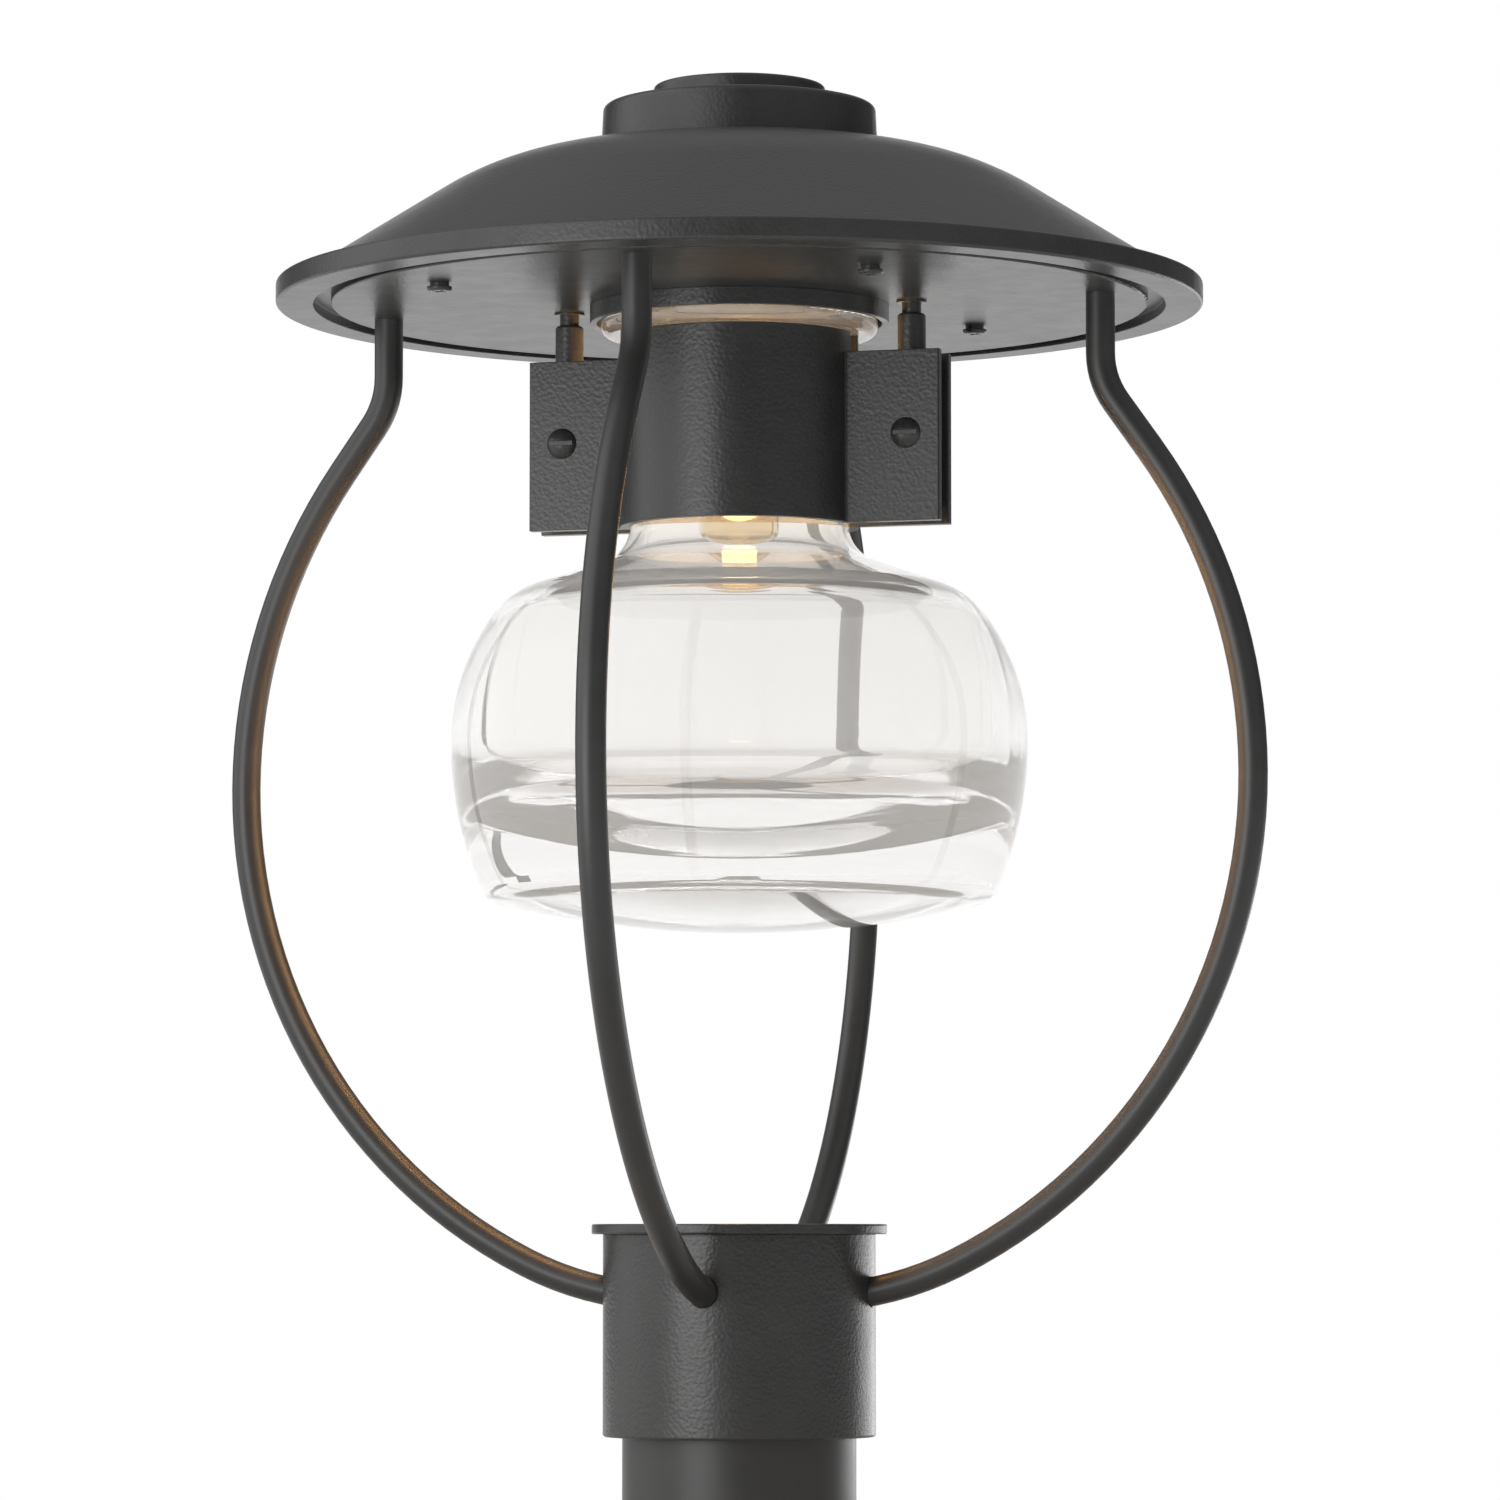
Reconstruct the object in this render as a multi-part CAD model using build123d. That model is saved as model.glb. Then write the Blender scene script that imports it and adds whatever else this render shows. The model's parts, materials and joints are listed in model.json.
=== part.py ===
from build123d import *

import os
from math import asin, cos, degrees, radians, sin, sqrt, tan

# Outdoor post light: a bent-rod cage carries a domed roof, a clear glass globe hangs from the roof's
# ceiling plate in a two-piece clamp, and the collar below slips over the top of a round post.
# Millimetres, +Z up, origin at the centre of the post piece's lower end.
# The front rod is on -Y, the right rod on +X; the clamp's ears lie along X.

# Post top
POST_OD = 76.2
POST_WALL = 3.2
POST_STUB = 70.0
POST_INSERT = 38.0
TENON_STEP = 1.2

# Collar and its lid
COLLAR_WALL = 5.95
POST_FIT = 0.4
SHOULDER_W = 2.5
ROD_RISE = 9.0
ROD_COVER = 18.6
LID_T = 3.3
LID_LIP = 3.7
PLUG_H = 5.0
PLUG_WALL = 3.0
EDGE_BREAK = 0.6

# Set screws in the collar
SET_SCREW_D = 6.35
SET_SCREW_Z = 16.0
SET_SCREW_PROUD = 1.0
SET_SCREW_KEY = 3.2
SET_SCREW_KEY_DEPTH = 3.0
SET_SCREW_ANGLES = {"right": 45, "left": 135}

# Cage rods: a foot at the collar, a low round arc, a flatter upper arc, a slant, a bend and an upright end
ROD_D = 9.5
ROD_PROUD = 1.5
CAGE_R = 170.9
FOOT_ARC_R = 110.0
FOOT_LEAN = 26.0
LOW_ARC_R = 175.4
UPPER_ARC_R = 182.4
ROD_LEAN = 35.3
ROD_SLANT = 18.7
ROD_BEND_R = 28.0
ROD_UPRIGHT = 19.4
SPIGOT_D = 7.9
TUBE_BORE = 5.6
ROD_NUT_AF = 11.0
ROD_NUT_T = 4.0
NUT_SPARE = 1.0
ROD_ANGLES = {"right": 0, "left": 180, "front": -90}
TUBE_ANGLE = 90

# Ceiling plate, its screws and the roof
PLATE_T = 3.0
PLATE_EDGE = 12.9
PLATE_SCREW_R = 101.0
PLATE_SCREW_SHIFT = 7.0
PLATE_SCREW_D = 4.0
PLATE_SCREW_GRIP = 12.0
PLATE_SCREW_ANGLE = 45
SCREW_NECK_D = 6.2
SCREW_NECK_H = 1.2
SCREW_HEAD_D = 8.0
SCREW_HEAD_H = 1.5
SCREW_HEAD_ROUND = 0.9
CROSS_L = 5.0
CROSS_W = 1.0
CROSS_DEPTH = 0.9
GROOVE_W = 5.9
BRIM_W = 12.2
BRIM_T = 7.2
BRIM_DROP = 0.4
BRIM_STEP = 7.2
BRIM_ROUND = 1.0
ROOF_WALL = 2.5
ROOF_SLOPE = 32.4
CROWN_R = 48.0
DOME_R = 97.0
SEAT_W = 4.8
BOSS_D = 11.0
BOSS_SPARE = 2.0

# Cap and finial on the roof
CAP_INSET = 2.3
CAP_H = 16.0
CAP_DRAFT = 0.8
CAP_ROUND = 2.0
CAP_WALL = 2.5
CAP_BOSS_D = 20.0
FINIAL_D = 56.6
FINIAL_H = 6.7
FINIAL_ROUND = 1.2
FINIAL_STUD_D = 8.0
CAP_WASHER_D = 24.0
CAP_WASHER_T = 1.6
CAP_NUT_AF = 13.0
CAP_NUT_T = 5.0

# Glass globe: lip, neck, outer shape and hollow (drops are measured down from the clamp's lower edge)
NECK_R = 35.7
NECK_WALL = 3.7
LIP_W = 10.0
LIP_T = 7.1
LIP_ROUND = 3.2
NECK_DROP = 8.1
NECK_FILLET = 14.0
SHOULDER_R = 75.0
SHOULDER_DROP = 22.1
SHOULDER_FILLET = 25.0
GLOBE_R = 94.5
WIDEST_DROP = 71.0
BASE_R = 82.7
BASE_SAG = 10.2
GLOBE_DROP = 133.0
BASE_FILLET = 8.0
SHOULDER_WALL = 5.5
SIDE_WALL = 11.4
BASE_T = 31.4
HOLLOW_WIDEST_DROP = 67.2
HOLLOW_NECK_FILLET = 18.0
HOLLOW_FILLET = 16.0
FLOOR_INSET = 0.5
FLOOR_SAG = 14.4
FLOOR_FILLET = 22.3

# Seat of the glass under the plate
GASKET_T = 2.8
LIP_FIT = 1.3
SEAT_RING_WALL = 2.25
SEAT_RING_H = 5.7

# Two-piece clamp, its screws and the hanger studs
LIP_REST = 0.2
NECK_FIT = 0.4
BAND_WALL = 3.1
BAND_H = 63.0
EAR_H = 56.0
EAR_T = 4.0
EAR_EDGE = 11.2
EAR_FILLET = 1.0
EAR_ROUND = 0.5
STUD_GAP = 9.15
STUD_D = 9.3
STUD_FIT = 0.1
STUD_NECK_D = 6.35
STUD_NECK_H = 4.4
STUD_RAISE = 6.0
STUD_WASHER_D = 10.0
STUD_WASHER_T = 0.8
STUD_NUT_AF = 10.0
STUD_NUT_T = 5.0
CLAMP_SCREW_D = 5.0
CLAMP_SCREW_Z = 28.7
CLAMP_SCREW_TIP = 1.5
CLAMP_HEAD_D = 10.1
CLAMP_HEAD_H = 2.8
SLOT_W = 1.6
SLOT_DEPTH = 1.5

# Lampholder and lead
HOLDER_CAVITY_R = 14.3
HOLDER_WALL = 6.7
HOLDER_DROP = 4.0
HOLDER_H = 31.0
HOLDER_TOP_T = 4.5
FLANGE_W = 9.0
FLANGE_T = 4.5
HOLDER_SCREW_D = 3.5
HOLDER_SCREW_HEAD_D = 6.4
HOLDER_SCREW_HEAD_H = 2.2
HOLDER_SCREW_BITE = 2.2
TERMINAL_X = 9.0
SHELL_WALL = 0.6
SHELL_FIT = 0.2
SHELL_INSET = 2.0
CONTACT_D = 9.0
CONTACT_T = 2.2
CABLE_D = 4.2
CABLE_TOP_TURN = 14.0
CABLE_LOW_TURN = 20.0
CONNECTOR_D = 8.0
CONNECTOR_TIP_D = 6.0
CONNECTOR_L = 18.0

# Bulb
BASE_FIT = 0.3
BULB_BASE_H = 25.0
BULB_BASE_WALL = 0.5
BULB_CONE_H = 3.0
BULB_CONE_R = 9.3
BULB_INSULATOR_H = 2.5
BULB_TIP_R = 3.5
BULB_TIP_T = 1.0
BULB_R = 13.0
BULB_DROP = 90.1
BULB_WALL = 1.0
BULB_NECK_FIT = 0.3
BULB_NECK_H = 10.0
STEM_T = 4.0
STEM_FIT = 0.2
CAPSULE_R = 6.25
CAPSULE_H = 45.0
CAPSULE_RAISE = 16.3
LEAD_D = 1.4
LEAD_SPREAD = 6.0

# Clearances shared by many pieces
HOLE_FIT = 0.1
THREAD_FIT = 0.05
SCREW_FIT = 0.3
TIP_GAP = 0.1

# Levels and radii worked out from the sizes above
lean = radians(ROD_LEAN)
foot_lean = radians(FOOT_LEAN)
slope = radians(ROOF_SLOPE)
rod_r = ROD_D / 2
post_r = POST_OD / 2
tenon_r = post_r - TENON_STEP
post_bore_r = post_r - POST_WALL
bore_r = post_r + POST_FIT
chamber_r = bore_r - SHOULDER_W
collar_r = bore_r + COLLAR_WALL
shoulder_z = POST_STUB + POST_INSERT
rod_entry_z = shoulder_z + ROD_RISE
collar_top_z = rod_entry_z + ROD_COVER
rod_end_r = chamber_r - ROD_PROUD
low_centre_r = CAGE_R - LOW_ARC_R
foot_centre_r = low_centre_r + (LOW_ARC_R - FOOT_ARC_R) * sin(foot_lean)
foot_centre_z = rod_entry_z + sqrt(FOOT_ARC_R**2 - (collar_r - foot_centre_r)**2)
equator_z = foot_centre_z + (LOW_ARC_R - FOOT_ARC_R) * cos(foot_lean)
rod_top_r = CAGE_R - (UPPER_ARC_R + ROD_BEND_R) * (1 - cos(lean)) - ROD_SLANT * sin(lean)
plate_z = equator_z + (UPPER_ARC_R + ROD_BEND_R) * sin(lean) + ROD_SLANT * cos(lean) + ROD_UPRIGHT
plate_r = rod_top_r + PLATE_EDGE
plate_top_z = plate_z + PLATE_T
spigot_top_z = plate_top_z + ROD_NUT_T + NUT_SPARE

recess_r = plate_r + GROOVE_W
roof_r = recess_r + BRIM_W
seat_r = plate_r - SEAT_W
brim_z = plate_z - BRIM_DROP
brim_top_z = brim_z + BRIM_T
cone_r = roof_r - BRIM_STEP
dome_edge_r = CROWN_R + DOME_R * sin(slope)
dome_edge_z = brim_top_z + (cone_r - dome_edge_r) * tan(slope)
crown_z = dome_edge_z + DOME_R * (1 - cos(slope))
crown_under_z = crown_z - ROOF_WALL
cap_r = CROWN_R - CAP_INSET
cap_top_z = crown_z + CAP_H
finial_stud_r = FINIAL_STUD_D / 2
nut_low_z = crown_under_z - CAP_WASHER_T - CAP_NUT_T

lip_top_z = plate_z - GASKET_T
lip_r = NECK_R + LIP_W
neck_bore_r = NECK_R - NECK_WALL
lip_low_z = lip_top_z - LIP_T
band_top_z = lip_low_z - LIP_REST
band_z = band_top_z - BAND_H
globe_z = band_z - GLOBE_DROP
clamp_bore_r = NECK_R + NECK_FIT
band_r = clamp_bore_r + BAND_WALL
seat_ring_bore_r = lip_r + LIP_FIT
seat_ring_r = seat_ring_bore_r + SEAT_RING_WALL
stud_x = seat_ring_r + STUD_GAP
ear_x = stud_x + EAR_EDGE
ear_back_y = STUD_D / 2 + STUD_FIT
ear_front_y = ear_back_y + EAR_T
clamp_screw_z = band_z + CLAMP_SCREW_Z
stud_neck_z = plate_z - STUD_NECK_H

holder_r = HOLDER_CAVITY_R + HOLDER_WALL
flange_r = holder_r + FLANGE_W
holder_screw_y = holder_r + FLANGE_W / 2
holder_z = plate_z - HOLDER_DROP
holder_top_z = holder_z + HOLDER_H
ceiling_z = holder_top_z - HOLDER_TOP_T
shell_r = HOLDER_CAVITY_R - SHELL_FIT
bulb_base_r = shell_r - SHELL_WALL - BASE_FIT
bulb_tip_z = ceiling_z - CONTACT_T - TIP_GAP
bulb_rim_z = bulb_tip_z - BULB_BASE_H
bulb_cone_z = bulb_tip_z - BULB_TIP_T - BULB_INSULATOR_H
bulb_end_z = plate_z - BULB_DROP
bulb_neck_r = bulb_base_r - BULB_BASE_WALL - BULB_NECK_FIT
stem_z = bulb_rim_z + BULB_NECK_H - STEM_T
capsule_z = bulb_end_z + CAPSULE_RAISE

UP = (Align.CENTER, Align.CENTER, Align.MIN)


# Shapes used by many pieces

def disc(radius, low, high, x=0.0, y=0.0):
    """An upright round bar between two heights."""
    return Pos(x, y, low) * Cylinder(radius, high - low, align=UP)


def ring(radius, bore, low, high, x=0.0, y=0.0):
    """An upright tube between two heights."""
    return disc(radius, low, high, x, y) - disc(bore, low, high, x, y)


def hexagon(across_flats, low, high, x=0.0, y=0.0):
    """An upright hexagonal bar between two heights."""
    profile = RegularPolygon(across_flats / 2, 6, major_radius=False)
    return Pos(x, y, low) * extrude(profile, high - low)


def nut(across_flats, bore, low, high, x=0.0, y=0.0):
    """A hexagon nut lying flat."""
    return hexagon(across_flats, low, high, x, y) - disc(bore, low, high, x, y)


def turned(face):
    """A solid of revolution about Z, from a face drawn with radius along X and height along Y."""
    return revolve(Plane.XZ * face, Axis.Z)


def softened(face, corners):
    """The face with each named corner rounded: corners holds (radius from axis, height, fillet)."""
    for r, z, size in corners:
        vertex = face.vertices().sort_by_distance((r, z))[0]
        face = fillet(vertex, size)
    return face


def around(shape, angle):
    """A shape built on +X, turned about Z to its own direction."""
    return Rot(0, 0, angle) * shape


def quarter_turns(shape, first=0):
    """Four copies of a shape, a quarter turn apart."""
    return Part() + [around(shape, first + 90 * i) for i in range(4)]


def bar_along_y(radius, low, high, x, z):
    """A round bar along Y between two places."""
    return Pos(x, low, z) * Rot(-90, 0, 0) * Cylinder(radius, high - low, align=UP)


def bar_along_x(radius, low, high, z):
    """A round bar along X, through the axis, between two places."""
    return Pos(low, 0, z) * Rot(0, 90, 0) * Cylinder(radius, high - low, align=UP)


# Post and collar

def post_tube():
    """The top of the post: full size below the collar, turned a little smaller inside it."""
    body = disc(post_r, 0, POST_STUB) + disc(tenon_r, POST_STUB, shoulder_z)
    return body - disc(post_bore_r, 0, shoulder_z)


def collar():
    """A sleeve that slips over the post, with a shoulder that rests on the post's end."""
    body = disc(collar_r, POST_STUB, collar_top_z)
    body = chamfer(body.edges().sort_by(Axis.Z)[0], EDGE_BREAK)
    body -= disc(bore_r, POST_STUB, shoulder_z)
    body -= disc(chamber_r, shoulder_z, collar_top_z)
    rod_way = swept(rod_foot(rod_end_r - ROD_D), rod_r + HOLE_FIT)
    body -= [around(rod_way, 90 * i) for i in range(4)]
    tapped = bar_along_x(SET_SCREW_D / 2 + THREAD_FIT, chamber_r, collar_r + ROD_D, POST_STUB + SET_SCREW_Z)
    body -= [around(tapped, angle) for angle in SET_SCREW_ANGLES.values()]
    return body


def collar_lid():
    """A flat lid with a plug that fits the collar's upper bore."""
    lid = disc(collar_r + LID_LIP, collar_top_z, collar_top_z + LID_T)
    lid = fillet(lid.edges().filter_by(GeomType.CIRCLE), EDGE_BREAK)
    plug_r = chamber_r - HOLE_FIT
    return lid + ring(plug_r, plug_r - PLUG_WALL, collar_top_z - PLUG_H, collar_top_z)


def set_screw(angle):
    """A headless screw with a hexagon socket, its point against the post."""
    inner = tenon_r + THREAD_FIT
    outer = collar_r + SET_SCREW_PROUD
    screw = bar_along_x(SET_SCREW_D / 2, inner, outer, 0)
    key = hexagon(SET_SCREW_KEY, 0, SET_SCREW_KEY_DEPTH)
    screw -= Pos(outer - SET_SCREW_KEY_DEPTH, 0, 0) * Rot(0, 90, 0) * key
    return around(Pos(0, 0, POST_STUB + SET_SCREW_Z) * screw, angle)


# Cage rods

def rod_foot(inner_r):
    """The rod's foot, an arc from a radius inside the collar out to the low arc."""
    start = degrees(asin((inner_r - foot_centre_r) / FOOT_ARC_R))
    return CenterArc((foot_centre_r, foot_centre_z), FOOT_ARC_R, start - 90, FOOT_LEAN - start)


def rod_line():
    """The rod's centre line, as edges from the collar up to the plate, radius along X."""
    foot = rod_foot(rod_end_r)
    low = CenterArc((low_centre_r, equator_z), LOW_ARC_R, FOOT_LEAN - 90, 90 - FOOT_LEAN)
    high = CenterArc((CAGE_R - UPPER_ARC_R, equator_z), UPPER_ARC_R, 0, ROD_LEAN)
    slant = Line(high @ 1, (high @ 1) + Vector(-sin(lean), cos(lean)) * ROD_SLANT)
    bend_centre = (rod_top_r + ROD_BEND_R, plate_z - ROD_UPRIGHT)
    bend = CenterArc(bend_centre, ROD_BEND_R, 180 + ROD_LEAN, -ROD_LEAN)
    upright = Line(bend @ 1, (rod_top_r, plate_z))
    return [foot, low, high, slant, bend, upright]


def swept(line, radius):
    """A round bar along edges drawn with radius along X and height along Y."""
    edges = [line] if isinstance(line, Edge) else line
    path = Plane.XZ * Wire(edges)
    section = Plane(path @ 0, z_dir=path % 0) * Circle(radius)
    return sweep(section, path=path)


def cage_rod():
    """A bent rod with a thinner end that goes up through the plate."""
    return swept(rod_line(), rod_r) + disc(SPIGOT_D / 2, plate_z, spigot_top_z, rod_top_r)


def cage_tube():
    """The rear rod, which is a tube because the lead runs inside it."""
    upper_end = Line((rod_top_r, plate_z), (rod_top_r, spigot_top_z))
    return cage_rod() - swept(rod_line() + [upper_end], TUBE_BORE / 2)


def rod_nuts():
    """The nuts that hold the plate down on the four rods."""
    one = nut(ROD_NUT_AF, SPIGOT_D / 2 + THREAD_FIT, plate_top_z, plate_top_z + ROD_NUT_T, rod_top_r)
    return quarter_turns(one)


# Ceiling plate and roof

def at_plate_screws(shape):
    """A shape built on the axis, copied to the four plate screws, whose circle is off the axis."""
    circle = quarter_turns(Pos(PLATE_SCREW_R, 0, 0) * shape, PLATE_SCREW_ANGLE)
    return Pos(-PLATE_SCREW_SHIFT, -PLATE_SCREW_SHIFT, 0) * circle


def ceiling_plate():
    """The flat plate under the roof, with holes for rods, screws, studs and the lampholder."""
    plate = disc(plate_r, plate_z, plate_top_z)
    plate = fillet(plate.edges().sort_by(Axis.Z)[0], EDGE_BREAK)
    plate -= quarter_turns(disc(SPIGOT_D / 2 + HOLE_FIT, plate_z, plate_top_z, rod_top_r))
    plate -= at_plate_screws(disc(PLATE_SCREW_D / 2 + HOLE_FIT, plate_z, plate_top_z))
    for side in (-1, 1):
        plate -= disc(STUD_NECK_D / 2 + HOLE_FIT, plate_z, plate_top_z, side * stud_x)
        bite_r = HOLDER_SCREW_D / 2 + THREAD_FIT
        plate -= disc(bite_r, plate_top_z - HOLDER_SCREW_BITE, plate_top_z, 0, side * holder_screw_y)
    return plate - disc(holder_r + SCREW_FIT, plate_z, plate_top_z)


def roof_outline():
    """The roof's outer edge from the finial's hole out to the brim's lower outer corner."""
    hole = finial_stud_r + HOLE_FIT
    flat = Line((hole, crown_z), (CROWN_R, crown_z))
    dome = CenterArc((CROWN_R, crown_z - DOME_R), DOME_R, 90, -ROOF_SLOPE)
    rest = Polyline(dome @ 1, (cone_r, brim_top_z), (roof_r, brim_top_z), (roof_r, brim_z))
    return [flat, dome, *rest.edges()]


def roof_shell():
    """The domed roof: a shell with a brim, a seat for the plate and four screw bosses."""
    hole = finial_stud_r + HOLE_FIT
    inner_r = DOME_R - ROOF_WALL
    inner_dome = CenterArc((CROWN_R, crown_z - DOME_R), inner_r, 90, -ROOF_SLOPE)
    fall = (seat_r - (inner_dome @ 1).X) * tan(slope)
    brim = Polyline((roof_r, brim_z), (recess_r, brim_z), (recess_r, plate_top_z), (seat_r, plate_top_z),
                    (seat_r, (inner_dome @ 1).Y - fall), inner_dome @ 1)
    crown = Polyline(inner_dome @ 0, (hole, crown_under_z), (hole, crown_z))
    face = make_face(roof_outline() + [*brim.edges(), inner_dome, *crown.edges()])
    face = softened(face, [(roof_r, brim_z, BRIM_ROUND), (roof_r, brim_top_z, BRIM_ROUND)])
    underside = Polyline((roof_r, brim_z), (hole, brim_z), (hole, crown_z))
    filled = make_face(roof_outline() + [*underside.edges()])
    bosses = at_plate_screws(disc(BOSS_D / 2, plate_top_z, crown_z)) & turned(filled)
    pilot_top = plate_top_z + PLATE_SCREW_GRIP - PLATE_T + BOSS_SPARE
    pilot = disc(PLATE_SCREW_D / 2 + THREAD_FIT, plate_top_z, pilot_top)
    return turned(face) + bosses - at_plate_screws(pilot)


def plate_screws():
    """Four screws with a short neck and a wide, cross-slotted head, up into the roof's bosses."""
    head_z = plate_z - SCREW_NECK_H - SCREW_HEAD_H
    head = disc(SCREW_HEAD_D / 2, head_z, plate_z - SCREW_NECK_H)
    head = fillet(head.edges().sort_by(Axis.Z)[0], SCREW_HEAD_ROUND)
    neck = disc(SCREW_NECK_D / 2, plate_z - SCREW_NECK_H, plate_z)
    screw = head + neck + disc(PLATE_SCREW_D / 2, plate_z, plate_z + PLATE_SCREW_GRIP)
    for length, width in ((CROSS_L, CROSS_W), (CROSS_W, CROSS_L)):
        screw -= Pos(0, 0, head_z) * Box(length, width, CROSS_DEPTH, align=UP)
    return at_plate_screws(screw)


def roof_cap():
    """The low round cap on the roof's crown, hollow, with a boss round the finial's stud."""
    profile = make_face(Polyline((0, crown_z), (cap_r, crown_z), (cap_r - CAP_DRAFT, cap_top_z),
                                 (0, cap_top_z), (0, crown_z)))
    body = turned(softened(profile, [(cap_r - CAP_DRAFT, cap_top_z, CAP_ROUND)]))
    hollow_r = cap_r - CAP_DRAFT - CAP_WALL
    body -= ring(hollow_r, CAP_BOSS_D / 2, crown_z, cap_top_z - CAP_WALL)
    return body - disc(finial_stud_r + HOLE_FIT, crown_z, cap_top_z)


def finial():
    """The small disc on top, with a stud that goes down through the cap and the roof."""
    top = disc(FINIAL_D / 2, cap_top_z, cap_top_z + FINIAL_H)
    top = fillet(top.edges().sort_by(Axis.Z)[-1], FINIAL_ROUND)
    return top + disc(finial_stud_r, nut_low_z - NUT_SPARE, cap_top_z)


def cap_washer():
    """The washer under the roof's crown."""
    bore = finial_stud_r + HOLE_FIT
    return ring(CAP_WASHER_D / 2, bore, crown_under_z - CAP_WASHER_T, crown_under_z)


def cap_nut():
    """The nut that holds finial, cap and roof together."""
    return nut(CAP_NUT_AF, finial_stud_r + THREAD_FIT, nut_low_z, nut_low_z + CAP_NUT_T)


# Glass and its seat

def round_bowl(upper, widest, low_z, rim):
    """A half outline closed by a round side through its widest point and a bowl that sags to the axis."""
    side_high = TangentArc(widest, upper @ 1, tangent=(0, 1))
    side_low = TangentArc(widest, rim, tangent=(0, -1))
    bowl = TangentArc((0, low_z), rim, tangent=(1, 0))
    return make_face([*upper.edges(), side_high, side_low, bowl])


def globe_outer():
    """The globe's outer face, filled in: lip, neck, sloping shoulder, round side and sagging base."""
    shoulder = (SHOULDER_R, band_z - SHOULDER_DROP)
    base = (BASE_R, globe_z + BASE_SAG)
    neck = (NECK_R, band_z - NECK_DROP)
    upper = Polyline((0, globe_z), (0, lip_top_z), (lip_r, lip_top_z), (lip_r, lip_low_z),
                     (NECK_R, lip_low_z), neck, shoulder)
    face = round_bowl(upper, (GLOBE_R, band_z - WIDEST_DROP), globe_z, base)
    return softened(face, [(lip_r, lip_top_z, LIP_ROUND), (lip_r, lip_low_z, LIP_ROUND),
                           (*neck, NECK_FILLET), (*shoulder, SHOULDER_FILLET), (*base, BASE_FILLET)])


def globe_hollow():
    """The space inside the globe, open at the lip, with a bowl for a floor."""
    fall = (SHOULDER_DROP - NECK_DROP) / (SHOULDER_R - NECK_R)
    top_z = band_z - NECK_DROP - SHOULDER_WALL * sqrt(1 + fall**2)
    neck = (neck_bore_r, top_z + fall * NECK_WALL)
    shoulder = (SHOULDER_R, top_z - fall * (SHOULDER_R - NECK_R))
    hollow_r = GLOBE_R - SIDE_WALL
    floor_z = globe_z + BASE_T
    floor = (hollow_r - FLOOR_INSET, floor_z + FLOOR_SAG)
    upper = Polyline((0, floor_z), (0, lip_top_z), (neck_bore_r, lip_top_z), neck, shoulder)
    face = round_bowl(upper, (hollow_r, band_z - HOLLOW_WIDEST_DROP), floor_z, floor)
    return softened(face, [(*neck, HOLLOW_NECK_FILLET), (*shoulder, HOLLOW_FILLET), (*floor, FLOOR_FILLET)])


def glass_globe():
    """The thick clear glass: a heavy solid base under a hollow that opens up through the neck."""
    return turned(globe_outer()) - turned(globe_hollow())


def seat_ring():
    """The ring under the plate that keeps the glass lip centred."""
    return ring(seat_ring_r, seat_ring_bore_r, plate_z - SEAT_RING_H, plate_z)


def seat_gasket():
    """The soft ring between the plate and the glass lip."""
    return ring(lip_r, neck_bore_r, lip_top_z, plate_z)


# Clamp and hangers

def clamp_half(hole_r):
    """Half of the clamp, on the -Y side: half a band with a flat ear at each end."""
    band = disc(band_r, band_z, band_top_z)
    ear_mid_y = -(ear_front_y + ear_back_y) / 2
    ears = Pos(0, ear_mid_y, band_z) * Box(2 * ear_x, EAR_T, EAR_H, align=UP)
    ears = fillet(ears.edges().filter_by(Axis.Z), EAR_ROUND)
    behind = Pos(0, band_r - ear_back_y, band_z) * Box(2 * ear_x, 2 * band_r, BAND_H, align=UP)
    half = (band - behind) + ears
    meet_x = sqrt(band_r**2 - ear_front_y**2)
    corners = [half.edges().filter_by(Axis.Z).sort_by_distance((side * meet_x, -ear_front_y, band_z))[0]
               for side in (-1, 1)]
    half = fillet(corners, EAR_FILLET)
    half -= disc(clamp_bore_r, band_z, band_top_z)
    for side in (-1, 1):
        half -= bar_along_y(hole_r, -ear_front_y, -ear_back_y, side * stud_x, clamp_screw_z)
    return half


def clamp_front():
    """The front half, with plain screw holes."""
    return clamp_half(CLAMP_SCREW_D / 2 + SCREW_FIT)


def clamp_rear():
    """The rear half, with tapped holes."""
    return around(clamp_half(CLAMP_SCREW_D / 2 + THREAD_FIT), 180)


def clamp_screw(side):
    """A slotted, domed screw through both ears and the stud between them."""
    crown = (CLAMP_HEAD_D**2 / 4 + CLAMP_HEAD_H**2) / (2 * CLAMP_HEAD_H)
    head = Pos(0, 0, CLAMP_HEAD_H - crown) * Sphere(crown)
    head &= disc(CLAMP_HEAD_D / 2, 0, CLAMP_HEAD_H)
    head -= Pos(0, 0, CLAMP_HEAD_H - SLOT_DEPTH) * Box(CLAMP_HEAD_D, SLOT_W, SLOT_DEPTH, align=UP)
    screw = Rot(90, 0, 0) * head + bar_along_y(CLAMP_SCREW_D / 2, 0, 2 * ear_front_y + CLAMP_SCREW_TIP, 0, 0)
    return Pos(side * stud_x, -ear_front_y, clamp_screw_z) * screw


def hanger_stud(side):
    """A round hanger between the ears, with a thinner neck up through the plate."""
    neck_top_z = plate_top_z + STUD_NUT_T + NUT_SPARE
    body = disc(STUD_D / 2, band_z + STUD_RAISE, stud_neck_z)
    body = chamfer(body.edges().filter_by(GeomType.CIRCLE), EDGE_BREAK)
    stud = body + disc(STUD_NECK_D / 2, stud_neck_z, neck_top_z)
    stud -= bar_along_y(CLAMP_SCREW_D / 2 + SCREW_FIT, -STUD_D, STUD_D, 0, clamp_screw_z)
    return Pos(side * stud_x, 0, 0) * stud


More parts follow.
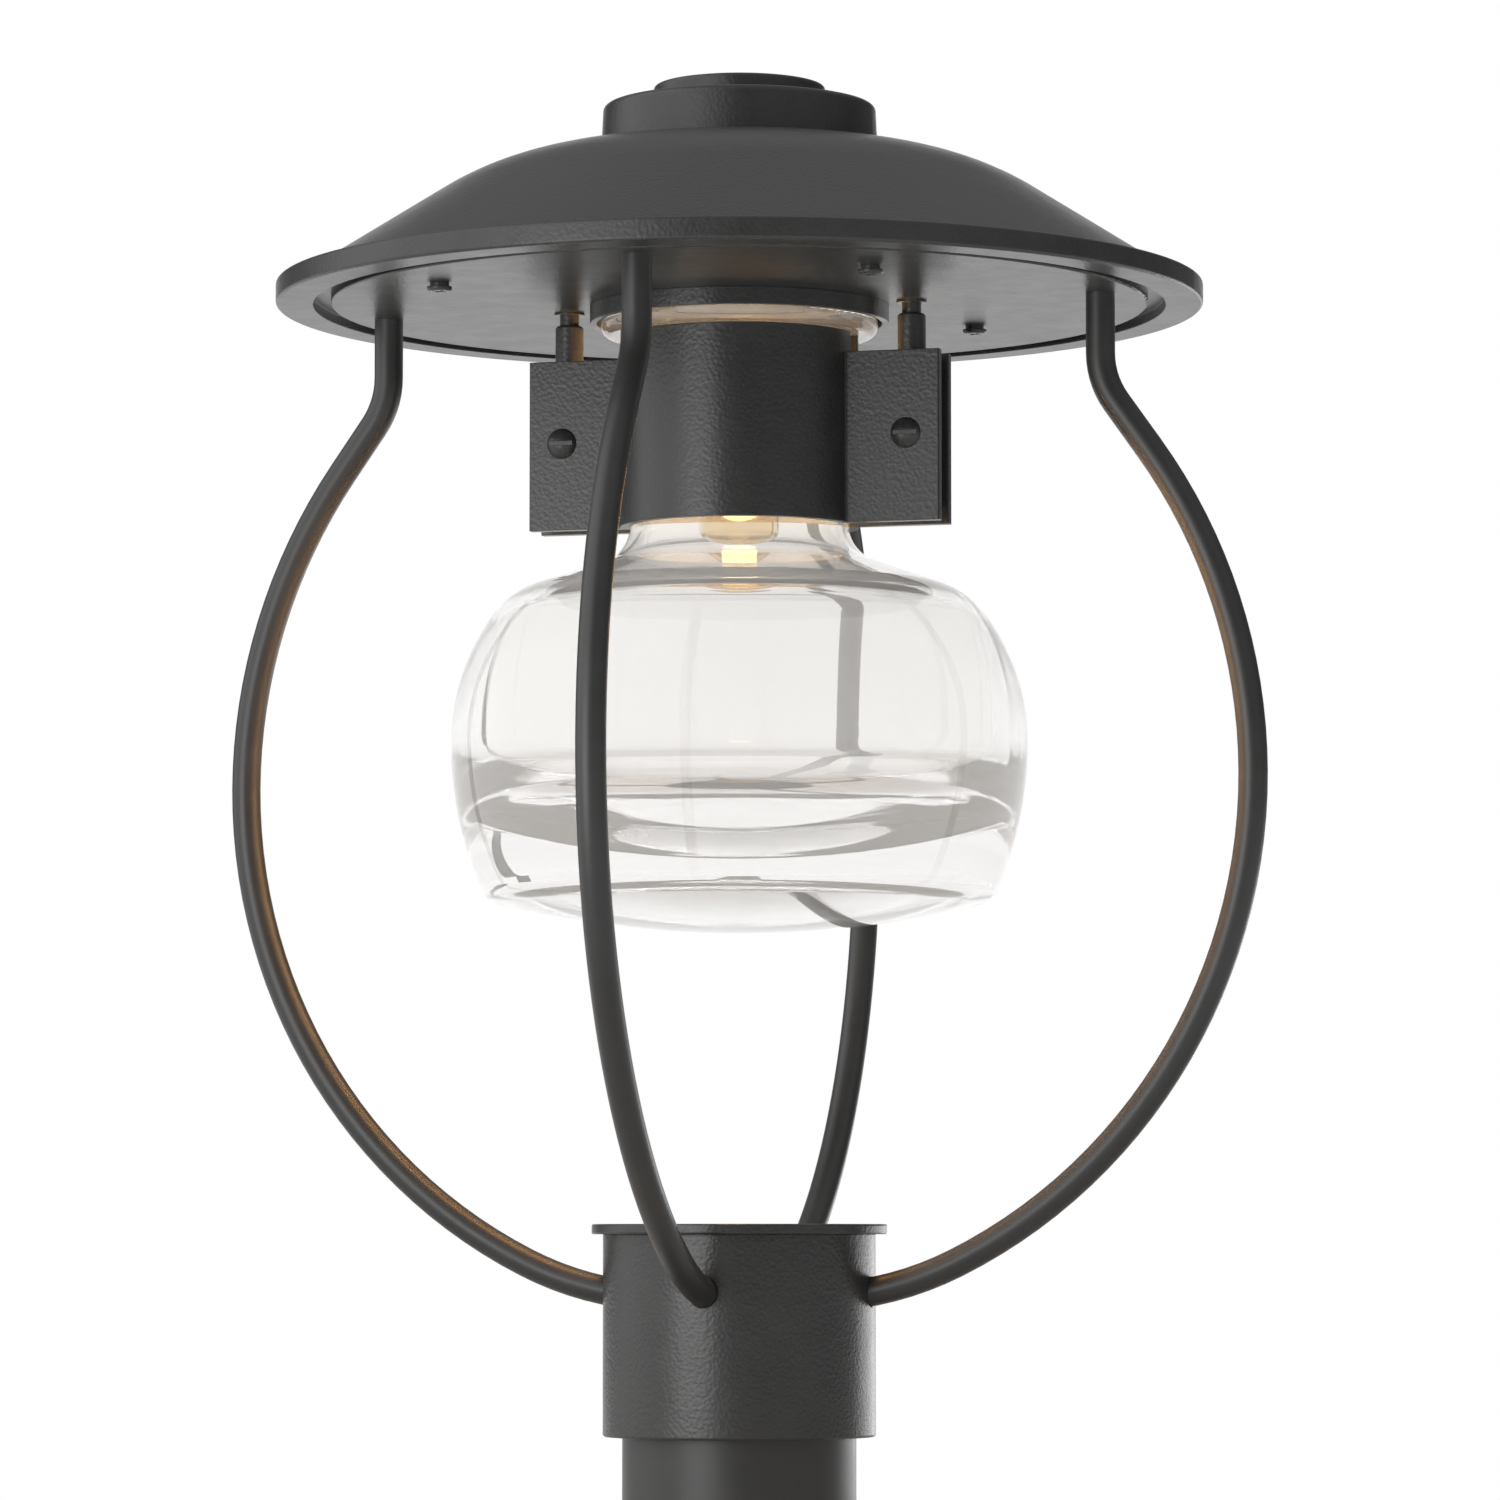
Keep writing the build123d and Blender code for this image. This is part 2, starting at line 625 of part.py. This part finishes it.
def stud_washers():
    """The thin washers under the plate."""
    bore = STUD_NECK_D / 2 + HOLE_FIT
    return Part() + [ring(STUD_WASHER_D / 2, bore, plate_z - STUD_WASHER_T, plate_z, side * stud_x)
                     for side in (-1, 1)]


def stud_nuts():
    """The nuts above the plate."""
    bore = STUD_NECK_D / 2 + THREAD_FIT
    return Part() + [nut(STUD_NUT_AF, bore, plate_top_z, plate_top_z + STUD_NUT_T, side * stud_x)
                     for side in (-1, 1)]


# Lampholder and lead

def lampholder():
    """The porcelain body: a cup that hangs through the plate on its flange."""
    body = disc(holder_r, holder_z, holder_top_z) + disc(flange_r, plate_top_z, plate_top_z + FLANGE_T)
    body -= disc(HOLDER_CAVITY_R, holder_z, ceiling_z)
    for side in (-1, 1):
        hole_r = HOLDER_SCREW_D / 2 + HOLE_FIT
        body -= disc(hole_r, plate_top_z, plate_top_z + FLANGE_T, 0, side * holder_screw_y)
        body -= disc(hole_r, ceiling_z, holder_top_z, side * TERMINAL_X)
    return body


def small_screw(grip):
    """A small round-headed screw standing on its head's underside at the origin."""
    head = disc(HOLDER_SCREW_HEAD_D / 2, 0, HOLDER_SCREW_HEAD_H)
    slot = Box(HOLDER_SCREW_HEAD_D, CROSS_W, HOLDER_SCREW_HEAD_H, align=UP)
    head -= Pos(0, 0, HOLDER_SCREW_HEAD_H / 2) * slot
    return head + disc(HOLDER_SCREW_D / 2, -grip, 0)


def holder_screws():
    """The two screws that hold the lampholder's flange to the plate."""
    screw = small_screw(FLANGE_T + HOLDER_SCREW_BITE)
    return Part() + [Pos(0, side * holder_screw_y, plate_top_z + FLANGE_T) * screw for side in (-1, 1)]


def terminal_screws():
    """The two screws on top of the lampholder, where the lead's wires are clamped."""
    screw = small_screw(HOLDER_TOP_T)
    return Part() + [Pos(side * TERMINAL_X, 0, holder_top_z) * screw for side in (-1, 1)]


def socket_shell():
    """The thin metal sleeve that the bulb screws into."""
    return ring(shell_r, shell_r - SHELL_WALL, holder_z + SHELL_INSET, ceiling_z)


def socket_contact():
    """The centre contact at the top of the cavity."""
    return disc(CONTACT_D / 2, ceiling_z - CONTACT_T, ceiling_z)


def lead_turn():
    """The short bend that brings the lead level inside the collar, whichever way the rod's foot leans."""
    foot = rod_foot(rod_end_r)
    way = foot % 0
    side = 1 if way.Y >= 0 else -1
    rise = side * way.get_angle(Vector(1, 0))
    centre = (foot @ 0) + Vector(-way.Y, way.X) * CABLE_LOW_TURN * side
    return CenterArc((centre.X, centre.Y), CABLE_LOW_TURN, -90 * side, rise)


def lead_cable():
    """The lead: from the collar's chamber through the rear tube and across to the lampholder."""
    upper_end = Line((rod_top_r, plate_z), (rod_top_r, spigot_top_z))
    over = CenterArc((rod_top_r - CABLE_TOP_TURN, spigot_top_z), CABLE_TOP_TURN, 0, 90)
    across = Line(over @ 1, (holder_r + THREAD_FIT, (over @ 1).Y))
    line = [lead_turn(), *rod_line(), upper_end, over, across]
    return around(swept(line, CABLE_D / 2), TUBE_ANGLE)


def wire_connectors():
    """Two tapered caps that join the lead to the supply wires inside the collar."""
    start = lead_turn() @ 0
    cap = Cone(CONNECTOR_D / 2, CONNECTOR_TIP_D / 2, CONNECTOR_L, align=UP)
    lying = Pos(start.X, 0, start.Y) * Rot(0, -90, 0) * cap
    apart = CONNECTOR_D / 2 + HOLE_FIT
    return around(Part() + [Pos(0, side * apart, 0) * lying for side in (-1, 1)], TUBE_ANGLE)


# Bulb

def bulb_base():
    """The bulb's metal screw base: a cup that narrows to the insulator."""
    bore_radius = bulb_base_r - BULB_BASE_WALL
    low_cone_z = bulb_cone_z - BULB_CONE_H
    face = make_face(Polyline((bulb_base_r, bulb_rim_z), (bulb_base_r, low_cone_z),
                              (BULB_CONE_R, bulb_cone_z), (BULB_CONE_R - BULB_BASE_WALL, bulb_cone_z),
                              (bore_radius, low_cone_z), (bore_radius, bulb_rim_z),
                              (bulb_base_r, bulb_rim_z)))
    return turned(face)


def bulb_insulator():
    """The insulating disc on top of the base."""
    return Pos(0, 0, bulb_cone_z) * Cone(BULB_CONE_R, BULB_TIP_R + BULB_TIP_T, BULB_INSULATOR_H, align=UP)


def bulb_tip():
    """The bulb's centre contact."""
    return disc(BULB_TIP_R, bulb_tip_z - BULB_TIP_T, bulb_tip_z)


def bulb_envelope():
    """The clear tubular bulb with a round end and a narrower neck inside the base."""
    face = bulb_face(BULB_R, bulb_neck_r, bulb_end_z) - bulb_face(
        BULB_R - BULB_WALL, bulb_neck_r - BULB_WALL, bulb_end_z + BULB_WALL)
    return turned(face)


def bulb_face(radius, neck_radius, end_z):
    """Half the bulb's outline, filled: round end, straight side and neck."""
    round_end = CenterArc((0, end_z + radius), radius, -90, 90)
    neck_low_z = bulb_rim_z - BULB_WALL
    top_z = bulb_rim_z + BULB_NECK_H
    side = Polyline(round_end @ 1, (radius, neck_low_z), (neck_radius, bulb_rim_z), (neck_radius, top_z),
                    (0, top_z), (0, end_z))
    return make_face([round_end, *side.edges()])


def bulb_stem():
    """The glass disc that closes the bulb's neck and holds the capsule's wires."""
    return disc(bulb_neck_r - BULB_WALL - STEM_FIT, stem_z, stem_z + STEM_T)


def bulb_capsule():
    """The small inner capsule that glows."""
    round_end = CenterArc((0, capsule_z + CAPSULE_R), CAPSULE_R, -90, 90)
    top_z = capsule_z + CAPSULE_H
    side = Polyline(round_end @ 1, (CAPSULE_R, top_z), (0, top_z), (0, capsule_z))
    return turned(make_face([round_end, *side.edges()]))


def bulb_leads():
    """The two stiff wires that carry the capsule."""
    return Part() + [disc(LEAD_D / 2, capsule_z + CAPSULE_H, stem_z, side * LEAD_SPREAD / 2)
                     for side in (-1, 1)]


def pieces():
    """Every piece, by the name of its node."""
    named = {
        "post_tube": post_tube(),
        "collar": collar(),
        "collar_lid": collar_lid(),
        "cage_tube_rear": around(cage_tube(), TUBE_ANGLE),
        "rod_nuts": rod_nuts(),
        "ceiling_plate": ceiling_plate(),
        "roof_shell": roof_shell(),
        "plate_screws": plate_screws(),
        "roof_cap": roof_cap(),
        "finial": finial(),
        "cap_washer": cap_washer(),
        "cap_nut": cap_nut(),
        "glass_globe": glass_globe(),
        "seat_ring": seat_ring(),
        "seat_gasket": seat_gasket(),
        "clamp_front": clamp_front(),
        "clamp_rear": clamp_rear(),
        "stud_washers": stud_washers(),
        "stud_nuts": stud_nuts(),
        "lampholder": lampholder(),
        "holder_screws": holder_screws(),
        "terminal_screws": terminal_screws(),
        "socket_shell": socket_shell(),
        "socket_contact": socket_contact(),
        "lead_cable": lead_cable(),
        "wire_connectors": wire_connectors(),
        "bulb_base": bulb_base(),
        "bulb_insulator": bulb_insulator(),
        "bulb_tip": bulb_tip(),
        "bulb_envelope": bulb_envelope(),
        "bulb_stem": bulb_stem(),
        "bulb_capsule": bulb_capsule(),
        "bulb_leads": bulb_leads(),
    }
    for name, angle in ROD_ANGLES.items():
        named[f"cage_rod_{name}"] = around(cage_rod(), angle)
    for name, side in (("left", -1), ("right", 1)):
        named[f"hanger_stud_{name}"] = hanger_stud(side)
        named[f"clamp_screw_{name}"] = clamp_screw(side)
        named[f"set_screw_{name}"] = set_screw(SET_SCREW_ANGLES[name])
    return named


os.makedirs("parts", exist_ok=True)
for node, shape in pieces().items():
    export_step(shape, f"parts/{node}.step")
    print(f"{node}: {shape.volume:.0f} mm3")
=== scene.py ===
import json
from math import cos, radians, sin

import bpy
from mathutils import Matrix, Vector


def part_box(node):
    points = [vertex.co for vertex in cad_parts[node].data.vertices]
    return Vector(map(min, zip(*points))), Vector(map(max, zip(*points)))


# Looks of the outdoor post light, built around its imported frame. Metres, +Z up.

# Camera
CAMERA_LENS = 158.55
CAMERA_SENSOR = 36.0
CAMERA_TURN = 15.18
CAMERA_AWAY = 2.1594
CAMERA_ASIDE = 0.00348
CAMERA_Z = 0.1338
CAMERA_TILT = 4.24

# Studio: a dim room with soft patches of light, a key and a rim panel, and a pale floor that fades to white
WHITE = (1, 1, 1, 1)
ROOM_DIM = 0.12
ROOM_PATCHES = {
    "left wall": {"side": -70, "rise": 10, "full": 30, "gone": 65, "brightness": 1.45},
    "right wall": {"side": 54, "rise": 20, "full": 10, "gone": 45, "brightness": 0.2},
    "rear wall": {"side": 180, "rise": 5, "full": 10, "gone": 24, "brightness": 1.1},
    "ceiling": {"side": 0, "rise": 90, "full": 30, "gone": 75, "brightness": 0.33},
}
PANELS = {
    "key_panel": {"side": -39, "away": 1.4, "height": 0.25, "size": (0.8, 0.5), "power": 4.4},
    "rim_panel": {"side": 140, "away": 1.2, "height": 0.1, "size": (0.87, 0.2), "power": 1.4},
}
FLOOR_R = 8.0
FLOOR_SIDES = 96
FLOOR_DARK = (0.78, 0.78, 0.78)
FLOOR_LIGHT = (0.82, 0.82, 0.82)
FLOOR_ROUGH = 0.7
FLOOR_MOTTLE = 6.0
FLOOR_FADE_START = 0.25
FLOOR_FADE_END = 0.8

# Lamps: a warm light at the bulb's capsule, and a wider one there for three of the rods
LAMP_COLOUR = (1.0, 0.58, 0.22)
LAMP_POWER = 1.3
LAMP_RADIUS = 0.015
ROD_LAMP_COLOUR = (1.0, 0.50, 0.17)
ROD_LAMP_POWER = 3.0
ROD_LAMP_RADIUS = 0.03
LIT_RODS = ("cage_rod_front", "cage_rod_right", "cage_rod_left")
ROD_NODES = LIT_RODS + ("cage_tube_rear",)
CLEAR_NODES = ("glass_globe", "bulb_envelope", "bulb_stem", "bulb_capsule")

# Glow: the capsule's, which is weaker at its lower end; on the glass a faint painted glow stands in for the
# bulb's light
GLOW_COLOUR = (1.0, 0.80, 0.42, 1)
GLOW_LOW = 1.5
GLOW_HIGH = 6.0
GLOW_RISE = 0.008
GLOW_GRAIN = 900.0
GLOW_DEPTH = 0.00004
# Colour of the glass's painted glow: emission that stands in for light caught in the glass's haze
GLASS_PAINTED_GLOW_COLOUR = (1.0, 0.95, 0.89, 1)

# Textures: the middle part of a noise that is used, and the detail of each kind of noise
NOISE_LOW = 0.3
NOISE_HIGH = 0.7
MOTTLE_DETAIL = 4.0
MOTTLE_ROUGH = 0.6
RELIEF_DETAIL = 3.0
RELIEF_ROUGH = 0.55
WAVE_DETAIL = 1.0
GLASS_IOR = 1.47

# Finishes by slot: rough is a range; mottle, relief and waviness are scales; depth and edge are lengths
SOLID_LOOKS = {
    "black_paint": {
        "dark": (0.024, 0.024, 0.0235), "light": (0.031, 0.0305, 0.03), "rough": (0.29, 0.34),
        "mottle": 90.0, "relief": 850.0, "depth": 0.00009, "edge": 0.0006, "pebbled": True,
    },
    "smooth_paint": {
        "dark": (0.024, 0.024, 0.0235), "light": (0.030, 0.0295, 0.029), "rough": (0.35, 0.40),
        "mottle": 60.0, "relief": 260.0, "depth": 0.00001,
    },
    "black_screws": {
        "dark": (0.026, 0.026, 0.0255), "light": (0.034, 0.034, 0.033), "rough": (0.26, 0.34),
        "mottle": 300.0, "relief": 1800.0, "depth": 0.00006, "edge": 0.0003,
    },
    "plated_steel": {
        "dark": (0.52, 0.52, 0.50), "light": (0.66, 0.66, 0.64), "rough": (0.25, 0.4),
        "mottle": 180.0, "relief": 2500.0, "depth": 0.00003, "metallic": 1.0,
    },
    "gasket_rubber": {
        "dark": (0.02, 0.02, 0.02), "light": (0.035, 0.034, 0.033), "rough": (0.6, 0.75),
        "mottle": 120.0, "relief": 900.0, "depth": 0.00005,
    },
    "porcelain": {
        "dark": (0.72, 0.70, 0.66), "light": (0.78, 0.76, 0.72), "rough": (0.12, 0.22),
        "mottle": 60.0, "relief": 300.0, "depth": 0.00004,
    },
    "brass_contacts": {
        "dark": (0.52, 0.36, 0.14), "light": (0.66, 0.48, 0.2), "rough": (0.22, 0.38),
        "mottle": 160.0, "relief": 2200.0, "depth": 0.00002, "metallic": 1.0,
    },
    "cable_jacket": {
        "dark": (0.018, 0.018, 0.018), "light": (0.028, 0.028, 0.027), "rough": (0.5, 0.62),
        "mottle": 200.0, "relief": 1500.0, "depth": 0.00003,
    },
    "connector_plastic": {
        "dark": (0.5, 0.14, 0.02), "light": (0.58, 0.18, 0.03), "rough": (0.32, 0.42),
        "mottle": 200.0, "relief": 1200.0, "depth": 0.00003,
    },
    "bulb_metal": {
        "dark": (0.6, 0.58, 0.54), "light": (0.7, 0.68, 0.64), "rough": (0.2, 0.34),
        "mottle": 200.0, "relief": 2500.0, "depth": 0.00002, "metallic": 1.0,
    },
    "bulb_black": {
        "dark": (0.01, 0.01, 0.01), "light": (0.018, 0.018, 0.018), "rough": (0.1, 0.2),
        "mottle": 150.0, "relief": 800.0, "depth": 0.00003,
    },
}
GLASS_LOOKS = {
    "clear_glass": {
        # The clear glass gets a faint painted glow: emission that stands in for light caught in its haze
        "tint": (0.91, 0.905, 0.90), "clear": 0.9, "waviness": 14.0, "depth": 0.00012, "painted_glow": 0.032,
    },
    "bulb_glass": {
        "tint": (0.93, 0.82, 0.63), "clear": 1.0, "waviness": 40.0, "depth": 0.00005,
    },
}

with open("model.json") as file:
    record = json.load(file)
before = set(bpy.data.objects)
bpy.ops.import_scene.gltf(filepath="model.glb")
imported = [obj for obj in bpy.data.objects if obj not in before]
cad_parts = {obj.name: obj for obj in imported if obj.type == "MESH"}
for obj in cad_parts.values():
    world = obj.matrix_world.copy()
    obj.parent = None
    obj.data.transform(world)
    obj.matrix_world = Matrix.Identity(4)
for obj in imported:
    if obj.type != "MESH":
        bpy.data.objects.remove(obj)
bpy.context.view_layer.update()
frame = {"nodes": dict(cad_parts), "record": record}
nodes = frame["nodes"]
turn = radians(CAMERA_TURN)
to_camera = Vector((sin(turn), -cos(turn), 0))
to_right = Vector((cos(turn), sin(turn), 0))


def capsule_low():
    """The height of the capsule's lower end."""
    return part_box("bulb_capsule")[0][2]


# Node helpers

def link(tree, output, target):
    tree.links.new(output, target)


def new_material(name):
    """A material with its node tree and main shader."""
    material = bpy.data.materials.new(name)
    material.use_nodes = True
    tree = material.node_tree
    return material, tree, tree.nodes["Principled BSDF"]


def own_space(tree):
    """Coordinates in the object's own space."""
    return tree.nodes.new("ShaderNodeTexCoord").outputs["Object"]


def noise(tree, scale, detail=2.0, rough=0.5):
    """Noise in the object's own space, with features of about 1/scale metres."""
    texture = tree.nodes.new("ShaderNodeTexNoise")
    texture.inputs["Scale"].default_value = scale
    texture.inputs["Detail"].default_value = detail
    texture.inputs["Roughness"].default_value = rough
    link(tree, own_space(tree), texture.inputs["Vector"])
    return texture.outputs["Fac"]


def pebbles(tree, scale):
    """Even, soft pebbles in the object's own space, each about 1/scale metres wide."""
    texture = tree.nodes.new("ShaderNodeTexVoronoi")
    texture.feature = "SMOOTH_F1"
    texture.inputs["Scale"].default_value = scale
    texture.inputs["Smoothness"].default_value = 1.0
    link(tree, own_space(tree), texture.inputs["Vector"])
    return texture.outputs["Distance"]


def mapped(tree, value, start, end, low=0.0, high=1.0, bend="SMOOTHSTEP"):
    """A value that goes from low to high while the given one goes from start to end."""
    node = tree.nodes.new("ShaderNodeMapRange")
    node.interpolation_type = bend
    node.inputs["From Min"].default_value = start
    node.inputs["From Max"].default_value = end
    node.inputs["To Min"].default_value = low
    node.inputs["To Max"].default_value = high
    link(tree, value, node.inputs["Value"])
    return node.outputs["Result"]


def tinted(tree, factor, dark, light):
    """A noise turned into a colour between two."""
    ramp = tree.nodes.new("ShaderNodeValToRGB")
    ramp.color_ramp.elements[0].position = NOISE_LOW
    ramp.color_ramp.elements[0].color = (*dark, 1)
    ramp.color_ramp.elements[1].position = NOISE_HIGH
    ramp.color_ramp.elements[1].color = (*light, 1)
    link(tree, factor, ramp.inputs["Fac"])
    return ramp.outputs["Color"]


def bumped(tree, shader, height, depth, edge=None):
    """Relief from a height, on top of softly rounded edges where an edge radius is given."""
    bump = tree.nodes.new("ShaderNodeBump")
    bump.inputs["Distance"].default_value = depth
    link(tree, height, bump.inputs["Height"])
    if edge:
        bevel = tree.nodes.new("ShaderNodeBevel")
        bevel.inputs["Radius"].default_value = edge
        link(tree, bevel.outputs["Normal"], bump.inputs["Normal"])
    link(tree, bump.outputs["Normal"], shader.inputs["Normal"])


def mixed(tree, factor, first, second):
    """A shader that turns from one into another as the factor goes from 0 to 1."""
    node = tree.nodes.new("ShaderNodeMixShader")
    link(tree, factor, node.inputs["Fac"])
    link(tree, first, node.inputs[1])
    link(tree, second, node.inputs[2])
    return node.outputs["Shader"]


def white_light(tree):
    """A white background shader of strength 1."""
    node = tree.nodes.new("ShaderNodeBackground")
    node.inputs["Color"].default_value = WHITE
    return node


# Finishes

def solid_finish(name, dark, light, rough, mottle, relief, depth, metallic=0.0, edge=None, pebbled=False):
    """A finish with mottled colour, uneven gloss and fine relief."""
    material, tree, shader = new_material(name)
    shader.inputs["Metallic"].default_value = metallic
    patches = noise(tree, mottle, MOTTLE_DETAIL, MOTTLE_ROUGH)
    gloss = mapped(tree, patches, NOISE_LOW, NOISE_HIGH, *rough, bend="LINEAR")
    link(tree, tinted(tree, patches, dark, light), shader.inputs["Base Color"])
    link(tree, gloss, shader.inputs["Roughness"])
    height = pebbles(tree, relief) if pebbled else noise(tree, relief, RELIEF_DETAIL, RELIEF_ROUGH)
    bumped(tree, shader, height, depth, edge)
    return material


def glass_finish(name, tint, clear, waviness, depth, painted_glow=0.0):
    """Clear, slightly wavy glass, hazy where clear is under 1, with a faint painted glow where its strength
    is given.
    """
    material, tree, shader = new_material(name)
    shader.inputs["Base Color"].default_value = (*tint, 1)
    shader.inputs["Roughness"].default_value = 0.0
    shader.inputs["IOR"].default_value = GLASS_IOR
    shader.inputs["Transmission Weight"].default_value = clear
    # Painted glow: emission on the glass that stands in for light caught in its haze
    shader.inputs["Emission Color"].default_value = GLASS_PAINTED_GLOW_COLOUR
    shader.inputs["Emission Strength"].default_value = painted_glow
    bumped(tree, shader, noise(tree, waviness, WAVE_DETAIL), depth)
    return material


def glowing_finish(name):
    """The lit capsule, which glows weaker at its lower end."""
    material, tree, shader = new_material(name)
    shader.inputs["Base Color"].default_value = GLOW_COLOUR
    shader.inputs["Emission Color"].default_value = GLOW_COLOUR
    axes = tree.nodes.new("ShaderNodeSeparateXYZ")
    link(tree, own_space(tree), axes.inputs["Vector"])
    low = capsule_low()
    strength = mapped(tree, axes.outputs["Z"], low, low + GLOW_RISE, GLOW_LOW, GLOW_HIGH)
    link(tree, strength, shader.inputs["Emission Strength"])
    bumped(tree, shader, noise(tree, GLOW_GRAIN), GLOW_DEPTH)
    return material


def finishes():
    """A material for each of the record's slots."""
    coats = {"lamp_glow": glowing_finish("lamp_glow")}
    for name, look in SOLID_LOOKS.items():
        coats[name] = solid_finish(name, **look)
    for name, look in GLASS_LOOKS.items():
        coats[name] = glass_finish(name, **look)
    return coats


def dress():
    """Gives every CAD node its slot's finish."""
    coats = finishes()
    for subpart in frame["record"]["subparts"]:
        materials = nodes[subpart["node"]].data.materials
        materials.clear()
        materials.append(coats[subpart["material_slot"]])


# Studio

def set_camera():
    tilt = radians(CAMERA_TILT)
    data = bpy.data.cameras.new("camera")
    data.lens = CAMERA_LENS
    data.sensor_width = CAMERA_SENSOR
    camera = bpy.data.objects.new("camera", data)
    bpy.context.scene.collection.objects.link(camera)
    camera.location = to_camera * CAMERA_AWAY + to_right * CAMERA_ASIDE + Vector((0, 0, CAMERA_Z))
    aim = -to_camera * cos(tilt) + Vector((0, 0, sin(tilt)))
    camera.rotation_euler = aim.to_track_quat("-Z", "Y").to_euler()
    bpy.context.scene.camera = camera


def beside_camera(side):
    """A level direction from the object, turned to the right of the camera by an angle."""
    return to_camera * cos(radians(side)) + to_right * sin(radians(side))


def room_patch(tree, side, rise, full, gone, brightness):
    """A soft round patch of light on the room's wall: full near its centre, gone at a wider angle."""
    way = beside_camera(side) * cos(radians(rise)) + Vector((0, 0, sin(radians(rise))))
    place = tree.nodes.new("ShaderNodeTexCoord")
    facing = tree.nodes.new("ShaderNodeVectorMath")
    facing.operation = "DOT_PRODUCT"
    facing.inputs[1].default_value = way
    link(tree, place.outputs["Generated"], facing.inputs[0])
    start = cos(radians(gone))
    end = cos(radians(full))
    strength = mapped(tree, facing.outputs["Value"], start, end, high=brightness)
    light = white_light(tree)
    link(tree, strength, light.inputs["Strength"])
    return light.outputs["Background"]


def room_light(tree):
    """A dim white room with soft patches of light."""
    dim = tree.nodes["Background"]
    dim.inputs["Color"].default_value = WHITE
    dim.inputs["Strength"].default_value = ROOM_DIM
    room = dim.outputs["Background"]
    for patch in ROOM_PATCHES.values():
        both = tree.nodes.new("ShaderNodeAddShader")
        link(tree, room, both.inputs[0])
        link(tree, room_patch(tree, **patch), both.inputs[1])
        room = both.outputs["Shader"]
    return room


def set_world():
    """A white backdrop for the camera and the clear glass, and the room's light for the rest."""
    world = bpy.data.worlds.new("studio")
    bpy.context.scene.world = world
    world.use_nodes = True
    tree = world.node_tree
    rays = tree.nodes.new("ShaderNodeLightPath")
    seen = tree.nodes.new("ShaderNodeMath")
    seen.operation = "MAXIMUM"
    link(tree, rays.outputs["Is Camera Ray"], seen.inputs[0])
    link(tree, rays.outputs["Is Singular Ray"], seen.inputs[1])
    backdrop = white_light(tree).outputs["Background"]
    either = mixed(tree, seen.outputs["Value"], room_light(tree), backdrop)
    link(tree, either, tree.nodes["World Output"].inputs["Surface"])


def add_light(name, kind, place, power, colour=(1, 1, 1)):
    data = bpy.data.lights.new(name, kind)
    data.energy = power
    data.color = colour
    lamp = bpy.data.objects.new(name, data)
    lamp.location = place
    bpy.context.scene.collection.objects.link(lamp)
    return lamp


def set_panel(name, side, away, height, size, power):
    """An upright light panel that faces the object."""
    way = beside_camera(side)
    panel = add_light(name, "AREA", way * away + Vector((0, 0, height)), power)
    panel.data.shape = "RECTANGLE"
    panel.data.size, panel.data.size_y = size
    panel.rotation_euler = (-way).to_track_quat("-Z", "Y").to_euler()
    panel.visible_camera = False


def collected(name, members, state="INCLUDE"):
    """A collection of CAD nodes for a light to shine on, or to leave out."""
    group = bpy.data.collections.new(name)
    for member in members:
        group.objects.link(nodes[member])
    for member in group.collection_objects:
        member.light_linking.link_state = state
    return group


def set_lamp():
    """The bulb's own light, at the capsule; it leaves out the clear pieces and the rods."""
    place = (0, 0, capsule_low() + LAMP_RADIUS)
    lamp = add_light("lamp_light", "POINT", place, LAMP_POWER, LAMP_COLOUR)
    lamp.data.shadow_soft_size = LAMP_RADIUS
    lamp.light_linking.receiver_collection = collected("not_lamp", CLEAR_NODES + ROD_NODES, "EXCLUDE")


def set_rod_lamp():
    """The bulb's light as the glass spreads it, on three rods alone, shaded by neither rods nor lid."""
    lamp = add_light("rod_lamp", "POINT", (0, 0, capsule_low()), ROD_LAMP_POWER, ROD_LAMP_COLOUR)
    lamp.data.shadow_soft_size = ROD_LAMP_RADIUS
    lamp.light_linking.receiver_collection = collected("rods", LIT_RODS)
    lamp.light_linking.blocker_collection = collected("not_shading", ROD_NODES + ("collar_lid",), "EXCLUDE")


def set_clear_nodes():
    """The clear pieces cast no shadow, and the panels make no hard reflection in them."""
    for name in CLEAR_NODES:
        nodes[name].visible_shadow = False
    clear = collected("clear", CLEAR_NODES, "EXCLUDE")
    for panel in PANELS:
        bpy.data.objects[panel].light_linking.receiver_collection = clear


def floor_finish():
    """A pale floor that fades into the white room."""
    material, tree, shader = new_material("pale_floor")
    patches = noise(tree, FLOOR_MOTTLE, MOTTLE_DETAIL)
    link(tree, tinted(tree, patches, FLOOR_DARK, FLOOR_LIGHT), shader.inputs["Base Color"])
    shader.inputs["Roughness"].default_value = FLOOR_ROUGH
    reach = tree.nodes.new("ShaderNodeVectorMath")
    reach.operation = "LENGTH"
    link(tree, own_space(tree), reach.inputs[0])
    fade = mapped(tree, reach.outputs["Value"], FLOOR_FADE_START, FLOOR_FADE_END)
    room = tree.nodes.new("ShaderNodeEmission")
    either = mixed(tree, fade, shader.outputs["BSDF"], room.outputs["Emission"])
    link(tree, either, tree.nodes["Material Output"].inputs["Surface"])
    return material


def set_floor():
    bpy.ops.mesh.primitive_circle_add(
        vertices=FLOOR_SIDES, radius=FLOOR_R, fill_type="NGON", location=(0, 0, 0))
    floor = bpy.context.object
    floor.name = "floor"
    floor.data.materials.append(floor_finish())


dress()
set_camera()
set_world()
for panel_name, panel_look in PANELS.items():
    set_panel(panel_name, **panel_look)
set_lamp()
set_rod_lamp()
set_clear_nodes()
set_floor()
bpy.context.scene.view_settings.view_transform = "Standard"
